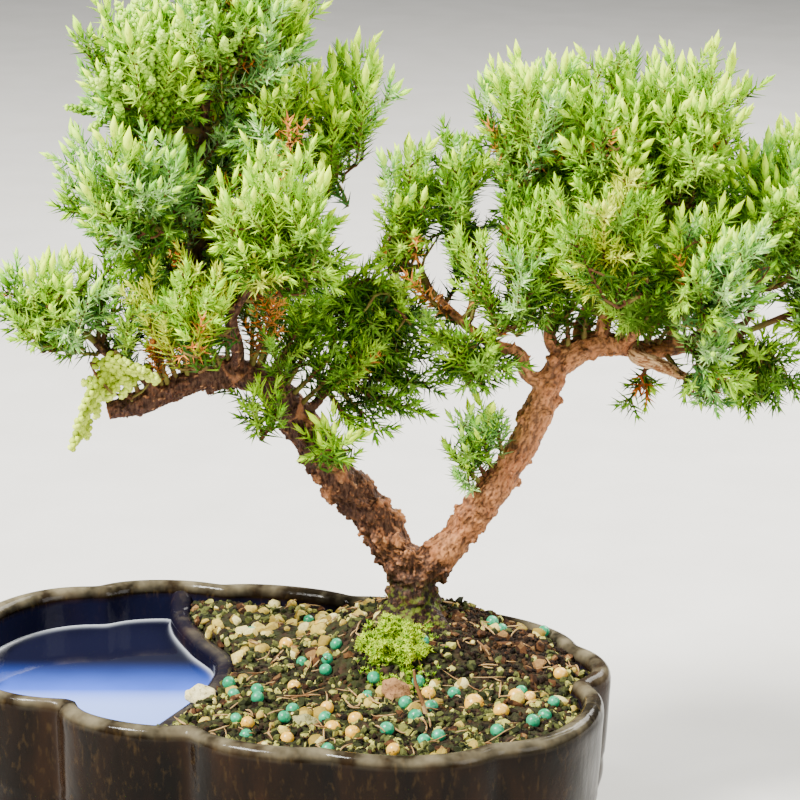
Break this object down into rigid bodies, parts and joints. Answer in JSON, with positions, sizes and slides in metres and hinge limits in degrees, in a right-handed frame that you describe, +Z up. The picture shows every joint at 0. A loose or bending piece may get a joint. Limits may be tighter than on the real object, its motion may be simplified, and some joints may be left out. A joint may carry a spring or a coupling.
{
  "type": "potted juniper bonsai",
  "caption": "Small juniper grown as a bonsai, its forked trunk on mounded soil in a lobed, dark glazed oval pot with a water basin at one end.",
  "frame": {"origin": "centre of the pot's flat underside", "axes": "+X along the pot's long side, from the water basin towards the soil; +Y away from the pot's front; +Z up"},
  "size_m": [0.261, 0.1735, 0.284],
  "materials": {
    "pot_glaze": "gloss",
    "soil": "matte",
    "water": "gloss",
    "moss": "matte",
    "stone": "matte",
    "bark": "matte",
    "deadwood": "matte",
    "foliage": "satin"
  },
  "bodies": {
    "root": {"pot": "pot_glaze", "soil": "soil", "water": "water", "moss_tuft": "moss", "trunk": "bark", "stone_brown": "stone", "stone_grey": "stone", "stone_cream": "stone", "left_stem": "bark", "left_limb": "bark", "left_leader": "bark", "left_front_bough": "bark", "left_low_bough": "bark", "left_side_bough": "bark", "left_back_bough": "bark", "left_lower_twig": "bark", "right_stem": "bark", "right_limb": "bark", "dead_stub": "deadwood", "right_inner_bough": "bark", "right_upright_1": "bark", "right_upright_2": "bark", "right_upright_3": "bark", "right_front_bough": "bark", "right_back_bough": "bark", "left_top": "foliage", "left_top_outer": "foliage", "left_shoulder": "foliage", "left_outer": "foliage", "left_front": "foliage", "left_inner": "foliage", "left_low": "foliage", "left_tip": "foliage", "left_low_front": "foliage", "left_hanging": "foliage", "left_middle": "foliage", "left_back": "foliage", "left_back_low": "foliage", "right_inner": "foliage", "right_inner_top": "foliage", "right_peak": "foliage", "right_feathers": "foliage", "right_crown": "foliage", "right_shoulder": "foliage", "right_outer": "foliage", "right_far": "foliage", "right_low_front": "foliage", "right_low_sprig": "foliage", "right_low_outer": "foliage", "right_under": "foliage", "right_front": "foliage", "right_front_outer": "foliage", "right_back": "foliage", "right_back_outer": "foliage", "right_stem_sprig": "foliage", "left_stem_sprig": "foliage", "left_stem_rosette": "foliage"}
  },
  "joints": []
}
